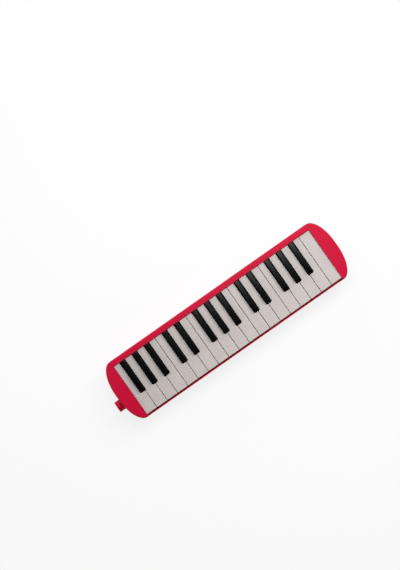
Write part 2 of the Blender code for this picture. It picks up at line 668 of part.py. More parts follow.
def build_springs(keys):
    """One comb of leaf springs: a strip on the reed block, and a finger up to the underside of each key."""
    rear = AXLE_Y - BOSS_RADIUS - SPRING_STRIP_SETBACK
    front = rear - SPRING_STRIP_DEPTH
    level = BLOCK_TOP_Z + SEAT + SPRING_THICKNESS
    tip_y = front - SPRING_FINGER_REACH
    tip_z = AXLE_Z + PLATE_UNDERSIDE - SEAT
    half = SPRING_FINGER_WIDTH / 2
    stops = [keys[0]["x"] - LEVER_WIDTH]
    for key in keys:
        stops += [key["x"] - half, key["x"] + half]
    stops.append(keys[-1]["x"] + LEVER_WIDTH)
    bm = bmesh.new()
    back_row = [bm.verts.new((x, rear, level)) for x in stops]
    front_row = [bm.verts.new((x, front, level)) for x in stops]
    for i in range(len(stops) - 1):
        bm.faces.new((front_row[i], front_row[i + 1], back_row[i + 1], back_row[i]))
    for i in range(1, len(stops) - 1, 2):
        root = bm.edges.get((front_row[i], front_row[i + 1]))
        tip = bmesh.ops.extrude_edge_only(bm, edges=[root])["geom"]
        tip_verts = [v for v in tip if isinstance(v, bmesh.types.BMVert)]
        bmesh.ops.translate(bm, verts=tip_verts, vec=(0, tip_y - front, tip_z - level))
    bmesh.ops.recalc_face_normals(bm, faces=bm.faces)
    if sum(face.normal.z for face in bm.faces) < 0:
        bmesh.ops.reverse_faces(bm, faces=bm.faces)
    bmesh.ops.solidify(bm, geom=bm.faces, thickness=SPRING_THICKNESS)
    place("spring_comb", mesh_of(bm), "steel")


def felt_top():
    """The height of the felt that stops the white keys at the end of their travel."""
    reach = AXLE_Y - (FELT_Y - FELT_WIDTH / 2)
    drop = reach * math.sin(KEY_DIP_ANGLE) - SKIRT_BOTTOM * (1 - math.cos(KEY_DIP_ANGLE))
    return AXLE_Z + SKIRT_BOTTOM - drop - SEAT


def build_felt():
    half, top = HALF_KEYBOARD - WHITE_GAP, felt_top()
    low = (-half, FELT_Y - FELT_WIDTH / 2, top - FELT_THICKNESS)
    place("key_stop_felt", boxes((low, (half, FELT_Y + FELT_WIDTH / 2, top))), "felt")


def case_screws():
    """(x, y) of the screws that hold the shells together: three at each end and two at the front rail."""
    end_x = HALF_KEYBOARD + END_SCREW_OFFSET
    end_ys = (FRONT_END_SCREW_Y, MIDDLE_END_SCREW_Y, REAR_END_SCREW_Y)
    found = [(side * end_x, y) for side in (-1, 1) for y in end_ys]
    rail_y = FRONT_Y + RAIL_SCREW_SETBACK
    found += [(-RAIL_SCREW_X, rail_y), (RAIL_SCREW_X, rail_y)]
    return found


def socket_hole():
    """The round hole that the socket passes through, half in each of the two shells."""
    start = (-HALF_LENGTH - CUT_MARGIN, SOCKET_Y, SOCKET_Z)
    end = (CUT_MARGIN - end_wall_x(abs(SOCKET_Y) + SOCKET_RADIUS, CASE_WALL), SOCKET_Y, SOCKET_Z)
    return rods((start, end, SOCKET_RADIUS + SEAT), steps=SOCKET_STEPS)


def build_socket():
    """The round socket for a mouthpiece: a tapered mouth, a flange that the two shells hold from behind, and
    an elbow that leads the air down to the wind chamber's inlet."""
    mouth_x = -HALF_LENGTH - SOCKET_REACH
    flange_x = SEAT - end_wall_x(abs(SOCKET_Y) + SOCKET_FLANGE_RADIUS, CASE_WALL)
    flange_end = flange_x + SOCKET_FLANGE_THICKNESS
    end_x = -CHEST_HALF - SEAT - SEAL_THICKNESS - SEAT
    elbow = ELBOW_RADIUS + ELBOW_WALL
    elbow_x = flange_end + elbow - WELD_DEPTH
    flare = (SOCKET_MOUTH_RADIUS - SOCKET_TAPER_END_RADIUS) * CUT_MARGIN / SOCKET_TAPER_DEPTH

    def ring(x, radius):
        around = arc(radius, 0, 360, SOCKET_STEPS)[:-1]
        return [(x, SOCKET_Y + across, SOCKET_Z + up) for across, up in around]

    def upright(radius):
        return ((elbow_x, SOCKET_Y, INLET_Z - radius), (elbow_x, SOCKET_Y, SOCKET_Z + radius), radius)

    def level(start, end, z, radius):
        return ((start, SOCKET_Y, z), (end, SOCKET_Y, z), radius)

    stub = lofted([
        ring(mouth_x, SOCKET_RADIUS - SOCKET_EDGE_ROUND),
        ring(mouth_x + SOCKET_EDGE_ROUND, SOCKET_RADIUS),
        ring(flange_x, SOCKET_RADIUS),
        ring(flange_x, SOCKET_FLANGE_RADIUS),
        ring(flange_end, SOCKET_FLANGE_RADIUS),
    ])
    mouth = lofted([
        ring(mouth_x - CUT_MARGIN, SOCKET_MOUTH_RADIUS + flare),
        ring(mouth_x + SOCKET_TAPER_DEPTH, SOCKET_TAPER_END_RADIUS),
    ])
    tail = level(elbow_x, end_x, INLET_Z, SEAL_RADIUS + SEAT)
    socket = joined(stub, rods(upright(elbow)), rods(tail))
    passages = rods(
        level(mouth_x, elbow_x, SOCKET_Z, AIR_PASSAGE_RADIUS),
        level(elbow_x, end_x + CUT_MARGIN, INLET_Z, AIR_PASSAGE_RADIUS),
        steps=SMALL_ROUND_STEPS,
    )
    place("mouthpiece_socket", cut(socket, mouth, passages, rods(upright(ELBOW_RADIUS))), "case_red")
    seal = [(SEAL_RADIUS, end_x + SEAT), (SEAL_RADIUS, end_x + SEAT + SEAL_THICKNESS)]
    seal += [(AIR_PASSAGE_RADIUS, end_x + SEAT + SEAL_THICKNESS), (AIR_PASSAGE_RADIUS, end_x + SEAT)]
    place("socket_seal", turned(seal, ROUND_STEPS, (0, SOCKET_Y, INLET_Z), "X"), "seal_rubber")


def build_drain_valve():
    """A button in the base: pushed up, its stem lifts a rubber disc off a hole in the chamber's floor."""
    flange_z = FLOOR_THICKNESS + SEAT
    flange_top = flange_z + DRAIN_FLANGE_THICKNESS
    stem_top = TRAY_FLOOR_Z + SEAT + DRAIN_STEM_ENTRY
    button = [(0, DRAIN_BUTTON_RECESS), (DRAIN_BUTTON_RADIUS, DRAIN_BUTTON_RECESS)]
    button += [(DRAIN_BUTTON_RADIUS, flange_z), (DRAIN_FLANGE_RADIUS, flange_z)]
    button += [(DRAIN_FLANGE_RADIUS, flange_top), (DRAIN_STEM_RADIUS, flange_top)]
    button += [(DRAIN_STEM_RADIUS, stem_top), (0, stem_top)]
    place("drain_button", turned(button, ROUND_STEPS, (DRAIN_X, DRAIN_Y, 0)), "case_red")
    disc_z = TRAY_FLOOR_Z + SEAT
    pocket_radius, pocket_top = DRAIN_STEM_RADIUS + SEAT, stem_top + SEAT
    disc_top = disc_z + DRAIN_DISC_THICKNESS
    disc = [(0, pocket_top), (pocket_radius, pocket_top), (pocket_radius, disc_z)]
    disc += [(DRAIN_DISC_RADIUS, disc_z), (DRAIN_DISC_RADIUS, disc_top), (0, disc_top)]
    place("drain_seal", turned(disc, ROUND_STEPS, (DRAIN_X, DRAIN_Y, 0)), "seal_rubber")
    build_drain_spring(flange_top + SEAT, TRAY_BOTTOM_Z - SEAT)


def build_drain_spring(low, high):
    """A round wire wound round the stem, between the button's flange and the chamber tray."""
    steps = SMALL_ROUND_STEPS
    count = DRAIN_SPRING_TURNS * steps
    curve = bpy.data.curves.new("drain_spring", "CURVE")
    curve.dimensions = "3D"
    curve.bevel_depth = DRAIN_SPRING_WIRE
    curve.bevel_resolution = 1
    curve.use_fill_caps = True
    spline = curve.splines.new("POLY")
    spline.points.add(count)
    start, rise = low + DRAIN_SPRING_WIRE, high - low - 2 * DRAIN_SPRING_WIRE
    for i, point in enumerate(spline.points):
        angle = math.tau * i / steps
        x, y = DRAIN_SPRING_RADIUS * math.cos(angle), DRAIN_SPRING_RADIUS * math.sin(angle)
        point.co = (x, y, start + rise * i / count, 1.0)
    curve.materials.append(finish_material("steel"))
    obj = bpy.data.objects.new("drain_spring", curve)
    bpy.context.scene.collection.objects.link(obj)
    obj.location = (DRAIN_X, DRAIN_Y, 0)


def screw_mesh(length):
    """A pan-head screw with its head down, its head's underside at height 0 and its tip at length."""
    profile = [(0, -SCREW_HEAD_HEIGHT), (SCREW_HEAD_RADIUS, -SCREW_HEAD_HEIGHT), (SCREW_HEAD_RADIUS, 0)]
    profile += [(SCREW_RADIUS, 0), (SCREW_RADIUS, length - SCREW_RADIUS), (0, length)]
    return turned(profile, SMALL_ROUND_STEPS, (0, 0, 0))


def build_screws():
    head_z = SCREW_RECESS_FLOOR_Z - SEAT
    end_length = COVER_BOTTOM_Z + SCREW_BITE - head_z
    rail_length = COVER_BOTTOM_Z + RAIL_LUG_THICKNESS - head_z
    meshes = {True: screw_mesh(rail_length), False: screw_mesh(end_length)}
    for i, (x, y) in enumerate(case_screws()):
        on_rail = y < FRONT_Y + RAIL_SCREW_SETBACK + CUT_MARGIN
        place(f"case_screw_{i + 1}", meshes[on_rail], "steel", (x, y, head_z))
    chest = screw_mesh(BLOCK_THICKNESS + SEAT + CHEST_SCREW_BITE)
    chest.transform(Matrix.Rotation(math.pi, 4, "X"))
    for i, (x, y) in enumerate(chest_screws()):
        place(f"chest_screw_{i + 1}", chest, "steel", (x, y, BLOCK_TOP_Z + SEAT))


def build_lower_case():
    """The bottom shell: a rounded tray with screw bosses, ribs under the wind chest and the felt's rail."""
    rings = list(reversed(fillet_rings(BASE_FILLET, 0.0, -1)))
    rings.append(case_ring(0, PARTING_Z))
    rings += [case_ring(CASE_WALL, z) for z in (PARTING_Z, FLOOR_THICKNESS)]
    shell = lofted(rings)
    root = FLOOR_THICKNESS - WELD_DEPTH
    posts = [((x, y, root), (x, y, PARTING_Z), WIDE_BOSS) for x, y in case_screws()]
    posts += [((x, y, root), (x, y, BLOCK_BOTTOM_Z - SEAT), SLIM_BOSS) for x, y in chest_screws()]
    ribs = []
    for i in range(RIB_COUNT):
        x = CHEST_HALF * (2 * (i + 0.5) / RIB_COUNT - 1)
        low = (x - RIB_THICKNESS / 2, CHEST_FRONT_Y, root)
        ribs.append((low, (x + RIB_THICKNESS / 2, CHEST_REAR_Y, FLOOR_THICKNESS + RIB_HEIGHT)))
    rail_top = felt_top() - FELT_THICKNESS - SEAT
    half = HALF_KEYBOARD - WHITE_GAP
    ribs.append(((-half, FELT_Y - FELT_WIDTH / 2, root), (half, FELT_Y + FELT_WIDTH / 2, rail_top)))
    shell = joined(shell, rods(*posts), boxes(*ribs))
    recesses = [
        ((x, y, -CUT_MARGIN), (x, y, SCREW_RECESS_FLOOR_Z), SCREW_HEAD_RADIUS + SEAT)
        for x, y in case_screws()
    ]
    shafts = [
        ((x, y, SCREW_RECESS_FLOOR_Z - CUT_MARGIN), (x, y, PARTING_Z + CUT_MARGIN), SCREW_RADIUS + SEAT)
        for x, y in case_screws()
    ]
    chest_floor = BLOCK_BOTTOM_Z - CHEST_SCREW_BITE - CUT_MARGIN
    shafts += [((x, y, chest_floor), (x, y, BLOCK_TOP_Z), SCREW_RADIUS + SEAT) for x, y in chest_screws()]
    drain = ((DRAIN_X, DRAIN_Y, -CUT_MARGIN), (DRAIN_X, DRAIN_Y, FLOOR_THICKNESS + CUT_MARGIN))
    recesses.append((*drain, DRAIN_BUTTON_RADIUS + RUNNING_GAP))
    place("lower_case", cut(shell, rods(*recesses), rods(*shafts), socket_hole()), "case_red")


def build_upper_cover():
    """The top shell: end caps and a rear rim round the keys, a low front rail, a fascia over the levers."""
    ceiling = COVER_TOP_Z - COVER_PLATE
    rings = [case_ring(CASE_WALL, z) for z in (ceiling, COVER_BOTTOM_Z)] + [case_ring(0, COVER_BOTTOM_Z)]
    rings += fillet_rings(TOP_FILLET, COVER_TOP_Z, 1)
    shell = lofted(rings)
    front_y = FRONT_Y + CASE_WALL
    fascia_low = (-OPENING_HALF - FASCIA_THICKNESS, front_y - WELD_DEPTH, FASCIA_BOTTOM_Z)
    fascia_high = (OPENING_HALF + FASCIA_THICKNESS, RIM_FACE_Y + FASCIA_THICKNESS, ceiling + WELD_DEPTH)
    posts, lugs, pilots = [], [], []
    for x, y in case_screws():
        pilot_top = COVER_BOTTOM_Z + SCREW_BITE + CUT_MARGIN
        if y < front_y + RAIL_SCREW_SETBACK:
            low = (x - SLIM_BOSS, front_y - WELD_DEPTH, COVER_BOTTOM_Z)
            lugs.append((low, (x + SLIM_BOSS, y + SLIM_BOSS, COVER_BOTTOM_Z + RAIL_LUG_THICKNESS)))
        else:
            posts.append(((x, y, COVER_BOTTOM_Z), (x, y, ceiling + WELD_DEPTH), SLIM_BOSS))
        pilots.append(((x, y, COVER_BOTTOM_Z - CUT_MARGIN), (x, y, pilot_top), SCREW_RADIUS + SEAT))
    over_top = (OPENING_HALF, RIM_FACE_Y, COVER_TOP_Z + CUT_MARGIN)
    above_rail = ((-OPENING_HALF, FRONT_Y - CUT_MARGIN, RAIL_TOP_Z), over_top)
    behind_rail = ((-OPENING_HALF, front_y, min(FASCIA_BOTTOM_Z, RAIL_TOP_Z) - CUT_MARGIN), over_top)
    shell = joined(shell, boxes((fascia_low, fascia_high)))
    shell = cut(shell, boxes(above_rail), boxes(behind_rail))
    shell = joined(shell, rods(*posts), boxes(*lugs))
    place("upper_cover", cut(shell, rods(*pilots), socket_hole()), "case_red")


def build_melodica():
    clear_scene()
    keys = key_layout()
    build_lower_case()
    build_upper_cover()
    build_socket()
    build_tray()
    build_gasket()
    build_reed_block(keys)
    half = KEY_COUNT // 2
    build_reed_plate("reed_plate_low", keys, 0, half - 1)
    build_reed_plate("reed_plate_high", keys, half, KEY_COUNT - 1)
    build_axle(keys)
    build_springs(keys)
    build_felt()
    build_drain_valve()
    build_screws()
    build_keys(keys)


build_melodica()
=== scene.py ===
import json
import math

import bmesh
import bpy
from mathutils import Matrix, Vector


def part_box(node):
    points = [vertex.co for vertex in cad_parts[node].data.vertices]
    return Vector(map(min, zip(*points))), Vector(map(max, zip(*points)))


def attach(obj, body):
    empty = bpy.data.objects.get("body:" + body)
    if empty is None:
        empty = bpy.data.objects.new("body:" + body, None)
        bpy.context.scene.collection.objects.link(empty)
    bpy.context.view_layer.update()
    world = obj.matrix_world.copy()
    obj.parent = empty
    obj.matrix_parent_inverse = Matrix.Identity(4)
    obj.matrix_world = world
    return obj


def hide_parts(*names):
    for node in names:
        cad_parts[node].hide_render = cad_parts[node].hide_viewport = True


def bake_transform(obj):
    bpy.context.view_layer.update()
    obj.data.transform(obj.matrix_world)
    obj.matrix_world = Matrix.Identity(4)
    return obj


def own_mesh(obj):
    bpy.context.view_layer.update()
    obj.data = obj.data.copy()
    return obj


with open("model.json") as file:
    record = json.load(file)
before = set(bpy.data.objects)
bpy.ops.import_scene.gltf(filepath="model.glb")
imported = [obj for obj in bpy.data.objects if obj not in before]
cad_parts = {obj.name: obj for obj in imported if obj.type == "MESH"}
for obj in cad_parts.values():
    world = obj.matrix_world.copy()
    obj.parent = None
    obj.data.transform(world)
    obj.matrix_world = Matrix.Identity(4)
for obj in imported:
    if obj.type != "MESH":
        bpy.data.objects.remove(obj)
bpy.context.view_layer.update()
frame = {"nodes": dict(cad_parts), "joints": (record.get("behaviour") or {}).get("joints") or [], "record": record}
print("frame loaded,", len(frame["nodes"]), "nodes")

white = (1.0, 1.0, 1.0, 1.0)
near = 1e-6               # points closer than this count as being on the same level
merged = 1e-7             # points closer than this become one
past = 0.001              # how far a cutter reaches past what it cuts
sharpAngle = 0.6          # radians between two faces, from which their edge counts as sharp
smoothAngle = 35.0        # degrees, up to which an edge is shaded smooth

# node helpers


def newMaterial(name, roughness, metallic=0.0):
    mat = bpy.data.materials.new(name)
    mat.use_nodes = True
    bsdf = mat.node_tree.nodes["Principled BSDF"]
    bsdf.inputs["Roughness"].default_value = roughness
    bsdf.inputs["Metallic"].default_value = metallic
    return mat, bsdf


def addNode(tree, kind, **values):
    node = tree.nodes.new(kind)
    for key, value in values.items():
        if key in node.inputs:
            node.inputs[key].default_value = value
        else:
            setattr(node, key, value)
    return node


def noise(tree, scale, detail=2.0, stretch=(1, 1, 1), turn=0.0):
    coords = addNode(tree, "ShaderNodeTexCoord")
    mapping = addNode(tree, "ShaderNodeMapping", Scale=stretch, Rotation=(0, 0, math.radians(turn)))
    node = addNode(tree, "ShaderNodeTexNoise", Scale=scale, Detail=detail)
    tree.links.new(coords.outputs["Object"], mapping.inputs["Vector"])
    tree.links.new(mapping.outputs["Vector"], node.inputs["Vector"])
    return node.outputs["Fac"]


def remap(tree, value, fromRange, toRange):
    node = addNode(tree, "ShaderNodeMapRange")
    for key, number in zip(("From Min", "From Max", "To Min", "To Max"), (*fromRange, *toRange)):
        node.inputs[key].default_value = number
    tree.links.new(value, node.inputs["Value"])
    return node.outputs["Result"]


def addUp(tree, *values):
    total = values[0]
    for value in values[1:]:
        node = addNode(tree, "ShaderNodeMath", operation="ADD")
        tree.links.new(total, node.inputs[0])
        tree.links.new(value, node.inputs[1])
        total = node.outputs["Value"]
    return total


def blendColours(tree, factor, first, second):
    firstSocket, secondSocket, resultSocket = 6, 7, 2    # where the mix node keeps its colours
    node = addNode(tree, "ShaderNodeMix", data_type="RGBA")
    tree.links.new(factor, node.inputs["Factor"])
    for place, colour in ((firstSocket, first), (secondSocket, second)):
        if isinstance(colour, tuple):
            node.inputs[place].default_value = (*colour, 1.0)
        else:
            tree.links.new(colour, node.inputs[place])
    return node.outputs[resultSocket]


def relief(tree, bsdf, height, strength, distance):
    node = addNode(tree, "ShaderNodeBump", Strength=strength, Distance=distance)
    tree.links.new(height, node.inputs["Height"])
    tree.links.new(node.outputs["Normal"], bsdf.inputs["Normal"])


# finishes: each moulded plastic has a slow drift of colour, fine dust, scratches and smears in its gloss,
# and a slight orange peel

mouldedPlastics = {
    "case_red": {
        "colours": ((0.605, 0.0009, 0.033), (0.645, 0.0014, 0.040)),
        "dust": (0.72, 0.06, 0.10),
        "drift": 12.0,
        "gloss": (0.36, 0.46),
        "specular": 0.16,
        "scratchStretch": (14, 260, 60),
        "scratchTurn": 24.0,
        "peel": 0.05,
    },
    "key_white": {
        "colours": ((0.655, 0.600, 0.578), (0.625, 0.568, 0.544)),
        "dust": (0.50, 0.45, 0.40),
        "drift": 45.0,
        "gloss": (0.34, 0.44),
        "specular": 0.4,
        "scratchStretch": (320, 16, 60),
        "scratchTurn": 4.0,
        "peel": 0.05,
    },
    "key_black": {
        "colours": ((0.0016, 0.0012, 0.001), (0.0026, 0.0021, 0.0018)),
        "dust": (0.03, 0.028, 0.026),
        "drift": 45.0,
        "gloss": (0.19, 0.23),
        "specular": 0.17,
        "scratchStretch": (360, 14, 60),
        "scratchTurn": -5.0,
        "peel": 0.015,
    },
}

# the scale and detail of each noise, and the range of it that is used
plasticLook = {
    "driftDetail": 3.0,
    "driftRange": (0.35, 0.65),
    "dustNoise": (1700.0, 1.0),
    "dustRange": (0.76, 0.82),
    "dustMost": 0.35,
    "scratchNoise": (5.0, 4.0),
    "scratchRange": (0.3, 0.75),
    "smearNoise": (70.0, 3.0),
    "smearRange": (0.3, 0.7),
    "peelNoise": (520.0, 2.0),
    "peelHeight": 0.0002,
    "nickRange": (0.7, 0.74),
    "nickDepth": 0.35,
}


def mouldedPlastic(name):
    sizes, look = mouldedPlastics[name], plasticLook
    mat, bsdf = newMaterial(name, sizes["gloss"][0])
    bsdf.inputs["Specular IOR Level"].default_value = sizes["specular"]
    tree = mat.node_tree
    cloud = noise(tree, sizes["drift"], look["driftDetail"])
    base = blendColours(tree, remap(tree, cloud, look["driftRange"], (0.0, 1.0)), *sizes["colours"])
    dust = remap(tree, noise(tree, *look["dustNoise"]), look["dustRange"], (0.0, look["dustMost"]))
    tree.links.new(blendColours(tree, dust, base, sizes["dust"]), bsdf.inputs["Base Color"])
    scratches = noise(tree, *look["scratchNoise"], sizes["scratchStretch"], sizes["scratchTurn"])
    smears = noise(tree, *look["smearNoise"])
    low, high = sizes["gloss"]
    half = (high - low) / 2
    gloss = addUp(
        tree,
        remap(tree, scratches, look["scratchRange"], (low, low + half)),
        remap(tree, smears, look["smearRange"], (0.0, half)),
    )
    tree.links.new(gloss, bsdf.inputs["Roughness"])
    bumps = noise(tree, *look["peelNoise"])
    nicks = remap(tree, scratches, look["nickRange"], (0.0, -look["nickDepth"]))
    relief(tree, bsdf, addUp(tree, bumps, nicks), sizes["peel"], look["peelHeight"])
    return mat


# the rest: two tones that mingle, a grain in the relief and a patchy gloss

plainStuffs = {
    "chest_plastic": {
        "tones": ((0.50, 0.48, 0.43), (0.57, 0.55, 0.50)),
        "mingle": 25.0,
        "gloss": (0.42, 0.55),
    },
    "reed_brass": {
        "tones": ((0.52, 0.34, 0.11), (0.68, 0.49, 0.20)),
        "mingle": 30.0,
        "gloss": (0.2, 0.38),
        "metal": 1.0,
        "stretch": (1, 9, 1),
    },
    "steel": {
        "tones": ((0.46, 0.46, 0.48), (0.60, 0.60, 0.62)),
        "mingle": 90.0,
        "gloss": (0.22, 0.38),
        "metal": 1.0,
        "stretch": (1, 6, 6),
    },
    "seal_rubber": {
        "tones": ((0.022, 0.022, 0.024), (0.045, 0.044, 0.045)),
        "mingle": 80.0,
        "gloss": (0.68, 0.82),
    },
    "felt": {
        "tones": ((0.018, 0.019, 0.018), (0.034, 0.035, 0.033)),
        "mingle": 300.0,
        "gloss": (0.92, 1.0),
        "grain": 2600.0,
        "rise": 0.5,
    },
    "key_flank": {
        "tones": ((0.0014, 0.0011, 0.001), (0.0022, 0.0018, 0.0016)),
        "mingle": 45.0,
        "gloss": (0.62, 0.72),
        "specular": 0.05,
    },
    "key_pad": {
        "tones": ((0.11, 0.065, 0.04), (0.17, 0.105, 0.065)),
        "mingle": 260.0,
        "gloss": (0.85, 0.95),
        "grain": 2200.0,
        "rise": 0.4,
    },
}

# what holds for each of them unless it says otherwise
plainLook = {
    "metal": 0.0,
    "specular": 0.5,
    "stretch": (1, 1, 1),
    "mingleDetail": 3.0,
    "mingleRange": (0.35, 0.65),
    "glossRange": (0.3, 0.7),
    "grain": 500.0,
    "grainDetail": 2.0,
    "grainHeight": 0.0003,
    "rise": 0.06,
}


def plainStuff(name):
    sizes = plainLook | plainStuffs[name]
    mat, bsdf = newMaterial(name, sizes["gloss"][0], sizes["metal"])
    bsdf.inputs["Specular IOR Level"].default_value = sizes["specular"]
    tree = mat.node_tree
    cloud = noise(tree, sizes["mingle"], sizes["mingleDetail"], sizes["stretch"])
    mingle = remap(tree, cloud, sizes["mingleRange"], (0.0, 1.0))
    tree.links.new(blendColours(tree, mingle, *sizes["tones"]), bsdf.inputs["Base Color"])
    tree.links.new(remap(tree, cloud, sizes["glossRange"], sizes["gloss"]), bsdf.inputs["Roughness"])
    grain = noise(tree, sizes["grain"], sizes["grainDetail"], sizes["stretch"])
    relief(tree, bsdf, grain, sizes["rise"], sizes["grainHeight"])
    return mat


finishes = {name: mouldedPlastic(name) for name in mouldedPlastics}
finishes.update({name: plainStuff(name) for name in plainStuffs})
for part in frame["record"]["subparts"]:
    slots = frame["nodes"][part["node"]].data.materials
    slots.clear()
    slots.append(finishes[part["material_slot"]])
print("finishes made:", ", ".join(finishes))

# mesh helpers


def finishPiece(name, bm, body, slot, nodes, extra=(), bend=None):
    bmesh.ops.remove_doubles(bm, verts=bm.verts, dist=merged)
    bmesh.ops.recalc_face_normals(bm, faces=bm.faces)
    mesh = bpy.data.meshes.new(name)
    bm.to_mesh(mesh)
    bm.free()
    mesh.shade_smooth()
    mesh.set_sharp_from_angle(angle=math.radians(smoothAngle))
    for used in (slot, *extra):
        mesh.materials.append(finishes[used])
    obj = bpy.data.objects.new(name, mesh)
    bpy.context.scene.collection.objects.link(obj)
    obj.modifiers.new("even shading", "WEIGHTED_NORMAL").keep_sharp = True
    if bend:
        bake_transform(obj)
    else:
        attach(obj, body)
    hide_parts(*nodes)
    return obj


def vertsOf(geom):
    return [v for v in geom if isinstance(v, bmesh.types.BMVert)]


def extrude(bm, faces, move):
    moved = vertsOf(bmesh.ops.extrude_face_region(bm, geom=faces)["geom"])
    bmesh.ops.translate(bm, vec=move, verts=moved)
    return moved


def roundEdges(bm, geom, radius, segments, affect="EDGES"):
    bmesh.ops.bevel(
        bm, geom=geom, offset=radius, offset_type="OFFSET", segments=segments, profile=0.5, affect=affect,
        clamp_overlap=True, material=-1,
    )


def sharpEdges(bm, least=sharpAngle):
    bmesh.ops.recalc_face_normals(bm, faces=bm.faces)
    return [e for e in bm.edges if len(e.link_faces) == 2 and e.calc_face_angle_signed() > least]


def onLevel(edge, z):
    return all(abs(v.co.z - z) < near for v in edge.verts)


def combine(bm, other, operation):
    pair = []
    for source in (bm, other):
        bmesh.ops.recalc_face_normals(source, faces=source.faces)
        mesh = bpy.data.meshes.new("working")
        source.to_mesh(mesh)
        source.free()
        pair.append(bpy.data.objects.new("working", mesh))
        bpy.context.scene.collection.objects.link(pair[-1])
    modifier = pair[0].modifiers.new("combine", "BOOLEAN")
    modifier.operation = operation
    modifier.object = pair[1]
    evaluated = pair[0].evaluated_get(bpy.context.evaluated_depsgraph_get())
    result = bmesh.new()
    result.from_mesh(bpy.data.meshes.new_from_object(evaluated))
    for obj in pair:
        bpy.data.objects.remove(obj)
    bmesh.ops.remove_doubles(result, verts=result.verts, dist=merged)
    return result


def addBlock(bm, low, high):
    size = Vector(high) - Vector(low)
    place = Matrix.Translation((Vector(high) + Vector(low)) / 2) @ Matrix.Diagonal((*size, 1))
    bmesh.ops.create_cube(bm, size=1.0, matrix=place)


def addBar(bm, start, end, radius, segments=40):
    along = Vector(end) - Vector(start)
    turn = Vector((0, 0, 1)).rotation_difference(along).to_matrix().to_4x4()
    place = Matrix.Translation((Vector(start) + Vector(end)) / 2) @ turn
    bmesh.ops.create_cone(
        bm, cap_ends=True, segments=segments, radius1=radius, radius2=radius, depth=along.length, matrix=place
    )


def blocks(*corners):
    bm = bmesh.new()
    for low, high in corners:
        addBlock(bm, low, high)
    return bm


def bars(*rods):
    bm = bmesh.new()
    for rod in rods:
        addBar(bm, *rod)
    return bm


def outlineFace(points, z):
    bm = bmesh.new()
    bm.faces.new([bm.verts.new((x, y, z)) for x, y in points])
    return bm


def sweptSide(side, startX, width):
    bm = bmesh.new()
    bm.faces.new([bm.verts.new((startX, y, z)) for y, z in side])
    extrude(bm, bm.faces[:], (width, 0, 0))
    return bm


def spunProfile(points, segments, closed=False):
    bm = bmesh.new()
    verts = [bm.verts.new((radius, 0, height)) for radius, height in points]
    edges = [bm.edges.new(pair) for pair in zip(verts, verts[1:] + verts[:1] if closed else verts[1:])]
    bmesh.ops.spin(
        bm, geom=verts + edges, cent=(0, 0, 0), axis=(0, 0, 1), angle=math.tau, steps=segments, use_merge=True
    )
    bmesh.ops.remove_doubles(bm, verts=bm.verts, dist=near)
    bmesh.ops.recalc_face_normals(bm, faces=bm.faces)
    return bm


def middle(node):
    low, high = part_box(node)
    return (low + high) / 2


# what the frame says

coverLow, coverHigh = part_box("upper_cover")
halfLength, halfDepth = coverHigh.x, coverHigh.y
keyAxles = {joint["child"]: Vector(joint["pos_m"]) for joint in frame["joints"] if joint["type"] == "hinge"}
keyNames = list(keyAxles)
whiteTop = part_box(keyNames[0])[1].z
capSkin = 0.001           # points this close to a white key's top belong to its cap
firstKey = frame["nodes"][keyNames[0]].data
keyRear = max(v.co.y for v in firstKey.vertices if v.co.z > whiteTop - capSkin)
caseScrews = [node for node in frame["nodes"] if node.startswith("case_screw")]
chestScrews = [node for node in frame["nodes"] if node.startswith("chest_screw")]

# case shells

shell = {
    "cornerAlong": 0.022,
    "cornerAcross": 0.048,
    "cornerSegments": 28,
    "wall": 0.0024,
    "topRound": 0.0025,
    "baseRound": 0.005,
    "roundSegments": 7,
    "seam": 0.0003,
    "seamRound": 0.0004,
    "openingRound": 0.0005,
    "fineSegments": 3,        # on the rounds of the seam, the opening and the recesses
    "sideGap": 0.0004,
    "rearGap": 0.0005,
    "fascia": 0.0018,
    "fasciaDrop": 0.0096,     # from the cover's top to the lower edge of the wall behind the keys
    "railDrop": 0.0070,       # from the white keys' tops to the top of the front rail
    "railLip": 0.0007,        # how far the rail reaches in towards the keys at its top, and lower down
    "railFoot": 0.0010,
    "railFootDrop": 0.0036,
    "railRound": 0.0019,
    "railSegments": 5,
    "wideBoss": 0.0047,
    "slimBoss": 0.0035,
    "screwHole": 0.0017,
    "recess": 0.0029,
    "recessDepth": 0.0046,
    "recessRound": 0.0004,
    "drainHole": 0.0049,
    "ribs": 5,
    "ribWidth": 0.002,
    "lug": 0.002,
    "holeWalls": 5,           # how many walls deep the hole for the socket is cut
    "holeSegments": 64,
    "clear": 0.0003,
}
rimFace = keyRear + shell["rearGap"]
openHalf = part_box(keyNames[-1])[1].x + shell["sideGap"]
parting = coverLow.z - shell["seam"]


def casePlan(z, inset):
    # a rectangle whose corners are rounded while it is stretched, which makes them elliptical
    along, across = shell["cornerAlong"] - inset, shell["cornerAcross"] - inset
    stretch = across / along
    bm = bmesh.new()
    bmesh.ops.create_grid(bm, x_segments=1, y_segments=1, size=1.0)
    bmesh.ops.scale(bm, vec=((halfLength - inset) * stretch, halfDepth - inset, 1), verts=bm.verts)
    roundEdges(bm, bm.verts[:], across, shell["cornerSegments"], "VERTICES")
    bmesh.ops.scale(bm, vec=(1 / stretch, 1, 1), verts=bm.verts)
    bmesh.ops.translate(bm, vec=(0, 0, z), verts=bm.verts)
    return bm


def casePrism(bottom, top, inset=0.0):
    bm = casePlan(bottom, inset)
    extrude(bm, bm.faces[:], (0, 0, top - bottom))
    bmesh.ops.recalc_face_normals(bm, faces=bm.faces)
    return bm


def socketAxis():
    # the middle of the socket's mouth
    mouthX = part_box("mouthpiece_socket")[0].x
    rim = [v.co for v in frame["nodes"]["mouthpiece_socket"].data.vertices if v.co.x < mouthX + past / 2]
    return Vector([(min(v[i] for v in rim) + max(v[i] for v in rim)) / 2 for i in range(3)])


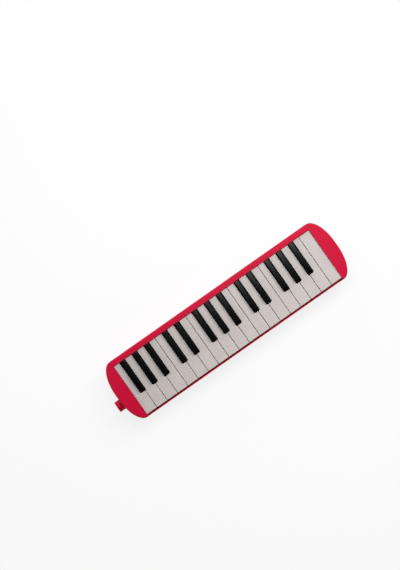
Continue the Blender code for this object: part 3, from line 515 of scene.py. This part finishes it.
def cutSocketHole(bm):
    axis = socketAxis()
    start = (-halfLength - past, axis.y, axis.z)
    end = (-halfLength + shell["holeWalls"] * shell["wall"], axis.y, axis.z)
    hole = bars((start, end, socketSizes["outer"] + shell["clear"], shell["holeSegments"]))
    return combine(bm, hole, "DIFFERENCE")


def screwLine(node, low, high, radius):
    spot = middle(node)
    return ((spot.x, spot.y, low), (spot.x, spot.y, high), radius)


def onFrontRail(node):
    return abs(middle(node).x) < openHalf


def railLip(frontFace, railTop):
    # a sloped lip along the rail's inner face that nearly closes the slit in front of the keys
    top, foot = railTop - past / 4, railTop - shell["railFootDrop"]
    side = [(frontFace - past, top), (frontFace + shell["railLip"], top)]
    side += [(frontFace + shell["railFoot"], foot), (frontFace - past, foot - past)]
    return sweptSide(side, -openHalf - past, 2 * (openHalf + past))


def upperCover():
    top, bottom = coverHigh.z, coverLow.z
    ceiling = top - shell["wall"]
    frontFace = -halfDepth + shell["wall"]
    railTop = whiteTop - shell["railDrop"]
    bm = casePrism(bottom, top)
    roundEdges(bm, [e for e in bm.edges if onLevel(e, top)], shell["topRound"], shell["roundSegments"])
    roundEdges(bm, [e for e in bm.edges if onLevel(e, bottom)], shell["seamRound"], shell["fineSegments"])
    bm = combine(bm, casePrism(bottom - past, ceiling, shell["wall"]), "DIFFERENCE")
    fasciaLow = (-openHalf - shell["fascia"], frontFace - past, top - shell["fasciaDrop"])
    fasciaHigh = (openHalf + shell["fascia"], rimFace + shell["fascia"], ceiling + past)
    bm = combine(bm, blocks((fasciaLow, fasciaHigh)), "UNION")
    keyWell = (openHalf, rimFace, top + past)
    bm = combine(bm, blocks(((-openHalf, -halfDepth - past, railTop), keyWell)), "DIFFERENCE")
    bm = combine(bm, blocks(((-openHalf, frontFace, bottom - past), keyWell)), "DIFFERENCE")
    bm = combine(bm, railLip(frontFace, railTop), "UNION")
    posts, lugs, bores = [], [], []
    for node in caseScrews:
        spot, reach = middle(node), shell["slimBoss"]
        if onFrontRail(node):
            low = (spot.x - reach, frontFace - past, bottom)
            lugs.append((low, (spot.x + reach, spot.y + reach, bottom + shell["lug"])))
        else:
            posts.append(screwLine(node, bottom, ceiling + past, reach))
        bores.append(screwLine(node, bottom - past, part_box(node)[1].z + past, shell["screwHole"]))
    bm = combine(bm, bars(*posts), "UNION")
    bm = combine(bm, blocks(*lugs), "UNION")
    bm = cutSocketHole(combine(bm, bars(*bores), "DIFFERENCE"))

    def railEdges():
        return [e for e in sharpEdges(bm) if onLevel(e, railTop) and e.calc_length() > openHalf]

    # round the outer edge of the front rail, then soften its inner edge and the edge round the keyboard
    outer = [e for e in railEdges() if e.verts[0].co.y < past - halfDepth]
    roundEdges(bm, outer, shell["railRound"], shell["railSegments"])
    rims = railEdges() + [e for e in sharpEdges(bm) if onLevel(e, top)]
    roundEdges(bm, rims, shell["openingRound"], shell["fineSegments"])
    finishPiece("top_shell", bm, "case", "case_red", ["upper_cover"])


def lowerCase():
    trayLow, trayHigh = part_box("chamber_tray")
    feltLow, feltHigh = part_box("key_stop_felt")
    floorTop, clear = shell["wall"], shell["clear"]
    bm = casePrism(0.0, parting)
    roundEdges(bm, [e for e in bm.edges if onLevel(e, 0.0)], shell["baseRound"], shell["roundSegments"])
    roundEdges(bm, [e for e in bm.edges if onLevel(e, parting)], shell["seamRound"], shell["fineSegments"])
    bm = combine(bm, casePrism(floorTop, parting + past, shell["wall"]), "DIFFERENCE")
    root, chestFoot = floorTop - past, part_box("reed_block")[0].z - clear
    posts = [screwLine(node, root, parting, shell["wideBoss"]) for node in caseScrews]
    posts += [screwLine(node, root, chestFoot, shell["slimBoss"]) for node in chestScrews]
    ribs = [((feltLow.x, feltLow.y, root), (feltHigh.x, feltHigh.y, feltLow.z - clear))]
    for i in range(shell["ribs"]):
        x = trayLow.x + (trayHigh.x - trayLow.x) * (i + 0.5) / shell["ribs"]
        low = (x - shell["ribWidth"] / 2, trayLow.y, root)
        ribs.append((low, (x + shell["ribWidth"] / 2, trayHigh.y, trayLow.z - clear)))
    bm = combine(bm, bars(*posts), "UNION")
    bm = combine(bm, blocks(*ribs), "UNION")
    recesses = [screwLine(node, -past, shell["recessDepth"], shell["recess"]) for node in caseScrews]
    recesses.append(screwLine("drain_button", -past, floorTop + past, shell["drainHole"]))
    bm = combine(bm, bars(*recesses), "DIFFERENCE")
    hole, holeFoot = shell["screwHole"], shell["recessDepth"] - past
    bores = [screwLine(node, holeFoot, parting + past, hole) for node in caseScrews]
    bores += [screwLine(node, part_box(node)[0].z - past, chestFoot + past, hole) for node in chestScrews]
    bm = cutSocketHole(combine(bm, bars(*bores), "DIFFERENCE"))
    rims = [e for e in sharpEdges(bm) if onLevel(e, 0.0)]
    roundEdges(bm, rims, shell["recessRound"], shell["fineSegments"])
    finishPiece("bottom_shell", bm, "case", "case_red", ["lower_case"])


# mouthpiece socket

socketSizes = {
    "outer": 0.0091,
    "lip": 0.0005,
    "lipSegments": 4,
    "mouth": 0.0061,
    "taperEnd": 0.0054,
    "taperDepth": 0.020,
    "passage": 0.0045,
    "tail": 0.0061,
    "flange": 0.002,
    "elbow": 0.005,
    "elbowWall": 0.0016,
    "elbowWeld": 0.0008,
    "entry": 0.0057,          # just wider than the taper where it passes the flange
    "segments": 72,
}


def mouthpieceSocket():
    # a stub with a tapered mouth, a flange behind the end wall, and an elbow down to the wind chamber's inlet
    low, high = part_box("mouthpiece_socket")
    axis, inletZ = socketAxis(), middle("socket_seal").z
    flangeRadius = (high.y - low.y) / 2
    verts = frame["nodes"]["mouthpiece_socket"].data.vertices
    flangeX = min(v.co.x for v in verts if abs(v.co.y - axis.y) > flangeRadius - past / 2)
    flangeEnd = flangeX + socketSizes["flange"]
    slope = (socketSizes["mouth"] - socketSizes["taperEnd"]) / socketSizes["taperDepth"]
    outside = [(socketSizes["outer"], low.x), (socketSizes["outer"], flangeX), (flangeRadius, flangeX)]
    outside.append((flangeRadius, flangeEnd))
    inside = [(socketSizes["mouth"] - slope * (flangeEnd - low.x), flangeEnd), (socketSizes["mouth"], low.x)]
    bm = spunProfile(outside + inside, socketSizes["segments"], closed=True)
    rims = [e for e in sharpEdges(bm) if onLevel(e, low.x)]
    roundEdges(bm, rims, socketSizes["lip"], socketSizes["lipSegments"])
    bm.transform(Matrix.Translation((0, axis.y, axis.z)) @ Matrix.Rotation(math.pi / 2, 4, "Y"))

    def upright(radius):
        return ((elbowX, axis.y, inletZ - radius), (elbowX, axis.y, axis.z + radius), radius)

    def level(first, last, z, radius):
        return ((first, axis.y, z), (last, axis.y, z), radius)

    outer = socketSizes["elbow"] + socketSizes["elbowWall"]
    elbowX = flangeEnd + outer - socketSizes["elbowWeld"]
    tail = bars(level(elbowX, high.x, inletZ, socketSizes["tail"]))
    elbow = combine(bars(upright(outer)), tail, "UNION")
    entry = level(flangeX, elbowX, axis.z, socketSizes["entry"])
    outlet = level(elbowX, high.x + past, inletZ, socketSizes["passage"])
    for bore in (entry, upright(socketSizes["elbow"]), outlet):
        elbow = combine(elbow, bars(bore), "DIFFERENCE")
    bm = combine(bm, elbow, "UNION")
    finishPiece("blow_socket", bm, "case", "case_red", ["mouthpiece_socket"])


upperCover()
lowerCase()
mouthpieceSocket()
print("case shells and socket made")

# keys

keySizes = {
    "skirt": 0.008,
    "plate": 0.0022,
    "skirtWall": 0.0016,
    "sideGap": 0.0005,        # from a black key to the white keys beside it
    "noseGap": 0.0012,        # from a black key's nose to the white key in front of it
    "notchRound": 0.0026,
    "notchShare": 0.7,        # of a notch's depth, the most that its round may take
    "notchSegments": 6,
    "whiteEdge": 0.0005,
    "edgeSegments": 3,
    "blackTop": 0.0074,
    "noseRound": 0.0030,
    "noseSegments": 6,
    "noseSlope": 0.0032,
    "noseRings": (0.3, 0.5, 0.7),
    "noseBelly": 2.2,         # 1 makes the slope of the nose straight, more makes it round
    "blackEdge": 0.0009,
    "blackEdgeSegments": 5,
    "blackSharp": 0.4,        # like sharpAngle, for the edges round a black key's top
    "topLevel": 0.97,         # faces that lean more than this are matt
    "rearDrop": 0.0019,       # how far a black key's top falls away towards its rear
    "crownCuts": 12,
}

levers = {
    "width": 0.005,
    "front": 0.014,
    "rear": 0.008,
    "boss": 0.0032,
    "bore": 0.00185,
    "tail": 0.0038,
    "padLength": 0.011,
    "padWidth": 0.0086,
    "padThickness": 0.002,
    "padRound": 0.0004,
    "padSegments": 2,
    "padMargin": 0.00001,     # faces lower than the pad's top by more than this are the pad's
    "weld": 0.0008,
    "segments": 32,
}


def isBlack(index):
    return 0 <= index < len(keyNames) and "sharp" in keyNames[index]


def keyLever():
    # made about the axle: a web up to the key, a boss, and a tail back to the pad that closes the reed's port
    axle = keyAxles[keyNames[0]]
    low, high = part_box(keyNames[0])
    half, boss = levers["width"] / 2, levers["boss"]
    top = whiteTop - keySizes["plate"] + levers["weld"] - axle.z
    padBottom, tailEnd = low.z - axle.z, high.y - axle.y
    tailBottom = padBottom + levers["padThickness"]
    tailTop = tailBottom + levers["tail"]
    side = [(-levers["front"], top), (-boss, 0), (0, -boss / 2), (boss, tailBottom), (tailEnd, tailBottom)]
    side += [(tailEnd, tailTop), (levers["rear"] + levers["tail"], tailTop), (levers["rear"], top)]
    web = sweptSide(side, -half, levers["width"])
    bm = combine(web, bars(((-half, 0, 0), (half, 0, 0), boss, levers["segments"])), "UNION")
    padLow = (-levers["padWidth"] / 2, tailEnd - levers["padLength"], padBottom)
    pad = blocks((padLow, (levers["padWidth"] / 2, tailEnd, tailBottom + levers["weld"])))
    roundEdges(pad, pad.edges[:], levers["padRound"], levers["padSegments"])
    bm = combine(bm, pad, "UNION")
    bore = bars(((-3 * half, 0, 0), (3 * half, 0, 0), levers["bore"], levers["segments"]))
    return combine(bm, bore, "DIFFERENCE")


def hollowUnderside(bm):
    bmesh.ops.recalc_face_normals(bm, faces=bm.faces)
    bottom = min(bm.faces, key=lambda face: face.calc_center_median().z)
    bmesh.ops.inset_region(bm, faces=[bottom], thickness=keySizes["skirtWall"])
    extrude(bm, [bottom], (0, 0, keySizes["skirt"] - keySizes["plate"]))
    bmesh.ops.delete(bm, geom=[bottom], context="FACES_ONLY")


def sinkSkirt(bm):
    extrude(bm, bm.faces[:], (0, 0, -keySizes["skirt"]))


def whiteCap(index):
    # a wide front, and a rear that steps back on each side where a black key stands
    low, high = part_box(keyNames[index])
    outline, steps = [(low.x, low.y), (high.x, low.y)], []
    if isBlack(index + 1):
        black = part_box(keyNames[index + 1])[0]
        edge, notch = black.x - keySizes["sideGap"], black.y - keySizes["noseGap"]
        outline += [(high.x, notch), (edge, notch), (edge, keyRear)]
        steps.append((edge, notch))
    else:
        outline.append((high.x, keyRear))
    if isBlack(index - 1):
        blackLow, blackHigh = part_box(keyNames[index - 1])
        edge, notch = blackHigh.x + keySizes["sideGap"], blackLow.y - keySizes["noseGap"]
        outline += [(edge, keyRear), (edge, notch), (low.x, notch)]
        steps.append((edge, notch))
    else:
        outline.append((low.x, keyRear))
    bm = outlineFace(outline, whiteTop)
    sinkSkirt(bm)
    hollowUnderside(bm)
    for edge, notch in steps:
        spot, depth = Vector((edge, notch)), min(edge - low.x, high.x - edge)
        corner = [e for e in bm.edges if all((v.co.xy - spot).length < near for v in e.verts)]
        radius = min(keySizes["notchRound"], keySizes["notchShare"] * depth)
        roundEdges(bm, corner, radius, keySizes["notchSegments"])
    edges = [e for e in sharpEdges(bm) if max(v.co.z for v in e.verts) > whiteTop - near]
    roundEdges(bm, edges, keySizes["whiteEdge"], keySizes["edgeSegments"])
    return bm


def blackCap(index):
    # upright between the white keys, then a tapered ridge with a round nose and a top that falls to the rear
    low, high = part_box(keyNames[index])
    centre, length, height = (low.x + high.x) / 2, keyRear - low.y, high.z - whiteTop
    bm = outlineFace([(low.x, low.y), (high.x, low.y), (high.x, keyRear), (low.x, keyRear)], whiteTop)
    nose = [v for v in bm.verts if v.co.y < keyRear - past]
    roundEdges(bm, nose, keySizes["noseRound"], keySizes["noseSegments"], "VERTICES")
    sinkSkirt(bm)
    bmesh.ops.recalc_face_normals(bm, faces=bm.faces)
    ridge = max(bm.faces, key=lambda face: face.calc_center_median().z)
    raised = extrude(bm, [ridge], (0, 0, height))
    if ridge.is_valid:
        bmesh.ops.delete(bm, geom=[ridge], context="FACES_ONLY")
    shrink = keySizes["noseSlope"] / length
    taper = (keySizes["blackTop"] / (high.x - low.x), 1 - shrink, 1)
    bmesh.ops.scale(bm, vec=taper, verts=raised, space=Matrix.Translation((-centre, -keyRear, 0)))

    def cutAt(place, normal):
        geom = bm.verts[:] + bm.edges[:] + bm.faces[:]
        cut = bmesh.ops.bisect_plane(bm, geom=geom, dist=merged, plane_co=place, plane_no=normal)
        return vertsOf(cut["geom_cut"])

    for t in keySizes["noseRings"]:
        swell = (1 - t ** keySizes["noseBelly"] * shrink) / (1 - t * shrink)
        ring = cutAt((0, 0, whiteTop + t * height), (0, 0, 1))
        bmesh.ops.scale(bm, vec=(1, swell, 1), verts=ring, space=Matrix.Translation((0, -keyRear, 0)))
    crest = low.y + keySizes["noseSlope"]
    for i in range(1, keySizes["crownCuts"]):
        cutAt((0, crest + (keyRear - crest) * i / keySizes["crownCuts"], 0), (0, 1, 0))
    for v in [v for v in bm.verts if v.co.z > whiteTop + near and v.co.y > crest]:
        fall = keySizes["rearDrop"] / height * ((v.co.y - crest) / (keyRear - crest)) ** 2
        v.co.z -= fall * (v.co.z - whiteTop)
    brim = high.z - keySizes["rearDrop"] - past
    edges = [e for e in sharpEdges(bm, keySizes["blackSharp"]) if all(v.co.z > brim for v in e.verts)]
    roundEdges(bm, edges, keySizes["blackEdge"], keySizes["blackEdgeSegments"])
    hollowUnderside(bm)
    return bm


def makeKeys():
    lever = keyLever()
    padFinish, flankFinish = 1, 2    # places in a key's list of finishes
    for index, name in enumerate(keyNames):
        black = isBlack(index)
        axle = keyAxles[name]
        stem = lever.copy()
        bmesh.ops.translate(stem, vec=axle, verts=stem.verts)
        bm = combine(blackCap(index) if black else whiteCap(index), stem, "UNION")
        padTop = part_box(name)[0].z + levers["padThickness"]
        kind = "black" if black else "white"
        extra = ["key_pad", "key_flank"] if black else ["key_pad"]
        bmesh.ops.recalc_face_normals(bm, faces=bm.faces)
        for face in bm.faces:
            spot = face.calc_center_median()
            behind = max(v.co.y for v in face.verts) > axle.y + 2 * levers["boss"]
            if behind and spot.z < padTop - levers["padMargin"]:
                face.material_index = padFinish
            elif black and spot.z > whiteTop - keySizes["skirt"] and face.normal.z < keySizes["topLevel"]:
                face.material_index = flankFinish
            else:
                face.material_index = 0
        finishPiece(f"{kind}_{name}", bm, name, f"key_{kind}", [name], extra)
    lever.free()


makeKeys()
print("keys made:", len(keyNames))

# leaf springs: a strip on the reed block and a finger for each key

comb = {"thickness": 0.0004, "strip": 0.005, "finger": 0.0026, "bends": 8}


def springComb():
    low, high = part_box("spring_comb")
    half, front = comb["thickness"] / 2, high.y - comb["strip"]
    strip = blocks(((low.x, front, low.z), (high.x, high.y, low.z + comb["thickness"])))
    finishPiece("spring_strip", strip, "case", "steel", ["spring_comb"])
    for name in keyNames:
        root = Vector((keyAxles[name].x, front, low.z + half))
        slope = math.atan2(high.z - root.z, front - low.y)
        tip = Vector((root.x, low.y + half * math.sin(slope), high.z - half * math.cos(slope)))
        bm = bmesh.new()
        bmesh.ops.create_grid(bm, x_segments=1, y_segments=comb["bends"], size=0.5)
        bmesh.ops.scale(bm, vec=(comb["finger"], (tip - root).length, 1), verts=bm.verts)
        bmesh.ops.solidify(bm, geom=bm.faces[:], thickness=comb["thickness"])
        lift = half - max(v.co.z for v in bm.verts)
        bmesh.ops.translate(bm, vec=(0, 0, lift), verts=bm.verts)
        turn = Vector((0, 1, 0)).rotation_difference(root - tip).to_matrix().to_4x4()
        bm.transform(Matrix.Translation((root + tip) / 2) @ turn)
        finishPiece(f"leaf_spring_{name}", bm, name, "steel", [], bend=(root, tip))


springComb()
print("leaf springs made")

# screws

screws = {
    "head": 0.0026,
    "headHeight": 0.0015,
    "headRing": ((0.55, 1.0), (0.85, 0.8), (1.0, 0.45)),    # shares of its radius and height
    "shank": 0.0014,
    "root": 0.00115,
    "pitch": 0.0009,
    "point": 0.0022,
    "crossWidth": 0.0007,
    "crossSpan": 0.0032,
    "crossDepth": 0.0008,
    "segments": 32,
}


def screwBody(length):
    # head down, with the underside of the head at height 0; the thread is a row of ridges
    head, height, shank, root = (screws[key] for key in ("head", "headHeight", "shank", "root"))
    profile = [(0, -height)] + [(across * head, -up * height) for across, up in screws["headRing"]]
    profile += [(head, 0), (shank, 0)]
    turns = int((length - screws["point"]) / screws["pitch"])
    for i in range(turns):
        z = (i + 0.5) * screws["pitch"]
        profile += [(root, z), (shank, z + screws["pitch"] / 2)]
    profile += [(root, length - screws["point"]), (0, length)]
    bm = spunProfile(profile, screws["segments"])
    span, width, depth = screws["crossSpan"] / 2, screws["crossWidth"] / 2, screws["crossDepth"] - height
    for x, y in ((span, width), (width, span)):
        bm = combine(bm, blocks(((-x, -y, -height - past), (x, y, depth))), "DIFFERENCE")
    return bm


def makeScrews():
    for node in caseScrews + chestScrews:
        low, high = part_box(node)
        spot = (low + high) / 2
        bm = screwBody(high.z - low.z - screws["headHeight"])
        place = Matrix.Translation((spot.x, spot.y, low.z + screws["headHeight"]))
        if node in chestScrews:
            flip = Matrix.Rotation(math.pi, 4, "X")
            place = Matrix.Translation((spot.x, spot.y, high.z - screws["headHeight"])) @ flip
        bm.transform(place)
        finishPiece(f"crosshead_{node}", bm, "case", "steel", [node])


makeScrews()

# drain valve

drain = {
    "button": 0.0045,
    "dish": 0.0006,
    "dishRadius": 0.0034,
    "dishBend": (0.6, 0.75),  # shares of the dish's radius and depth
    "edge": 0.0005,
    "flangeZ": 0.0027,
    "flangeThickness": 0.0008,
    "stem": 0.0018,
    "spring": 0.0036,
    "wire": 0.00025,
    "wireSegments": 12,
    "turns": 2,
    "stepsPerTurn": 48,
    "segments": 48,
}


def drainButton():
    low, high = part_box("drain_button")
    spot = (low + high) / 2
    flange, button, edge, stem = (high.x - low.x) / 2, drain["button"], drain["edge"], drain["stem"]
    face, flangeTop = low.z, drain["flangeZ"] + drain["flangeThickness"]
    across, deep = drain["dishBend"]
    profile = [(0, face + drain["dish"]), (across * drain["dishRadius"], face + deep * drain["dish"])]
    profile += [(drain["dishRadius"], face), (button - edge, face), (button, face + edge)]
    profile += [(button, drain["flangeZ"]), (flange, drain["flangeZ"])]
    profile += [(flange, flangeTop), (stem, flangeTop)]
    profile += [(stem, high.z - edge), (stem - edge, high.z), (0, high.z)]
    bm = spunProfile(profile, drain["segments"])
    bm.transform(Matrix.Translation((spot.x, spot.y, 0)))
    finishPiece("drain_push_button", bm, "drain_valve", "case_red", ["drain_button"])


def drainSpring():
    low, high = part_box("drain_spring")
    spot = (low + high) / 2
    bm = bmesh.new()
    place = Matrix.Translation((drain["spring"], 0, low.z + drain["wire"]))
    ring = bmesh.ops.create_circle(
        bm, cap_ends=True, segments=drain["wireSegments"], radius=drain["wire"],
        matrix=place @ Matrix.Rotation(math.pi / 2, 4, "X"),
    )["verts"]
    steps = drain["turns"] * drain["stepsPerTurn"]
    rise = (high.z - low.z - 2 * drain["wire"]) / steps
    bmesh.ops.spin(
        bm, geom=ring + bm.edges[:] + bm.faces[:], cent=(0, 0, 0), axis=(0, 0, 1), dvec=(0, 0, rise),
        angle=math.tau * drain["turns"], steps=steps,
    )
    bm.transform(Matrix.Translation((spot.x, spot.y, 0)))
    coil = finishPiece("drain_coil", bm, "case", "steel", ["drain_spring"])
    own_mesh(coil)


drainButton()
drainSpring()
print("screws and drain valve made")

# stage, light and camera

stageLook = {"half": 6.0, "tone": 0.16, "lift": 0.84, "under": 0.0005, "roughness": 0.9}


def makeFloor():
    mat, bsdf = newMaterial("paleFloor", stageLook["roughness"])
    tree = mat.node_tree
    bsdf.inputs["Base Color"].default_value = (stageLook["tone"],) * 3 + (1.0,)
    bsdf.inputs["Specular IOR Level"].default_value = 0.0
    # a part of the floor's white is lit and keeps the shadow, the rest is given to rays that see the floor
    rays = addNode(tree, "ShaderNodeLightPath")
    kinds = ("Is Camera Ray", "Is Glossy Ray", "Is Transmission Ray")
    seen = addUp(tree, *(rays.outputs[kind] for kind in kinds))
    lift = remap(tree, seen, (0.0, 1.0), (0.0, stageLook["lift"]))
    tree.links.new(lift, bsdf.inputs["Emission Strength"])
    bsdf.inputs["Emission Color"].default_value = white
    bm = bmesh.new()
    bmesh.ops.create_grid(bm, x_segments=1, y_segments=1, size=stageLook["half"])
    bmesh.ops.translate(bm, vec=(0, 0, -stageLook["under"]), verts=bm.verts)
    mesh = bpy.data.meshes.new("floor")
    bm.to_mesh(mesh)
    bm.free()
    mesh.materials.append(mat)
    floor = bpy.data.objects.new("floor", mesh)
    bpy.context.scene.collection.objects.link(floor)


lamps = {
    "skyLow": 2.0,            # the studio is bright low down and dark overhead
    "skyHigh": 0.03,
    "skyFade": (0.2, 0.6),    # between these heights on a sphere of radius 1
    "skyLean": (-0.55, 0.83, 0.0),    # towards the brighter side
    "skyDim": 0.12,           # what is left of the brightness on the other side
    "softboxes": (            # place, size, watts
        ((0.98, 0.36, 1.15), 0.80, 11.0),
        ((0.18, 0.47, 1.25), 0.60, 7.6),
    ),
}


def makeLight():
    world = bpy.data.worlds.new("studio")
    bpy.context.scene.world = world
    world.use_nodes = True
    tree = world.node_tree
    coords = addNode(tree, "ShaderNodeTexCoord")
    axes = addNode(tree, "ShaderNodeSeparateXYZ")
    tree.links.new(coords.outputs["Generated"], axes.inputs["Vector"])
    sky = remap(tree, axes.outputs["Z"], lamps["skyFade"], (lamps["skyLow"], lamps["skyHigh"]))
    lean = addNode(tree, "ShaderNodeVectorMath", operation="DOT_PRODUCT")
    lean.inputs[1].default_value = lamps["skyLean"]
    tree.links.new(coords.outputs["Generated"], lean.inputs[0])
    sides = remap(tree, lean.outputs["Value"], (-1.0, 1.0), (lamps["skyDim"], 1.0))
    product = addNode(tree, "ShaderNodeMath", operation="MULTIPLY")
    tree.links.new(sky, product.inputs[0])
    tree.links.new(sides, product.inputs[1])
    tree.nodes["Background"].inputs["Color"].default_value = white
    tree.links.new(product.outputs["Value"], tree.nodes["Background"].inputs["Strength"])
    for place, size, watts in lamps["softboxes"]:
        light = bpy.data.lights.new("softbox", "AREA")
        light.shape = "DISK"
        light.size = size
        light.energy = watts
        softbox = bpy.data.objects.new("softbox", light)
        softbox.location = place
        softbox.rotation_euler = Vector(place).to_track_quat("Z", "Y").to_euler()
        bpy.context.scene.collection.objects.link(softbox)


view = {
    "photoHeight": 570,
    "pixelsPerMetre": 633.9,  # on the level of the white keys
    "above": 4.0,
    "turn": -35.07,           # degrees, so that the keyboard rises to the right
    "centre": (-0.0022, 0.0701),
    "sensor": 36.0,
    "clipEnd": 60.0,
}


def makeCamera():
    data = bpy.data.cameras.new("camera")
    data.sensor_fit = "VERTICAL"
    data.sensor_height = view["sensor"]
    data.lens = view["pixelsPerMetre"] * view["above"] / view["photoHeight"] * view["sensor"]
    data.clip_end = view["clipEnd"]
    camera = bpy.data.objects.new("camera", data)
    camera.location = (*view["centre"], whiteTop + view["above"])
    camera.rotation_euler = (0, 0, math.radians(view["turn"]))
    bpy.context.scene.collection.objects.link(camera)
    bpy.context.scene.camera = camera


makeFloor()
makeLight()
makeCamera()
bpy.context.scene.view_settings.view_transform = "Standard"
print("stage, light and camera made")
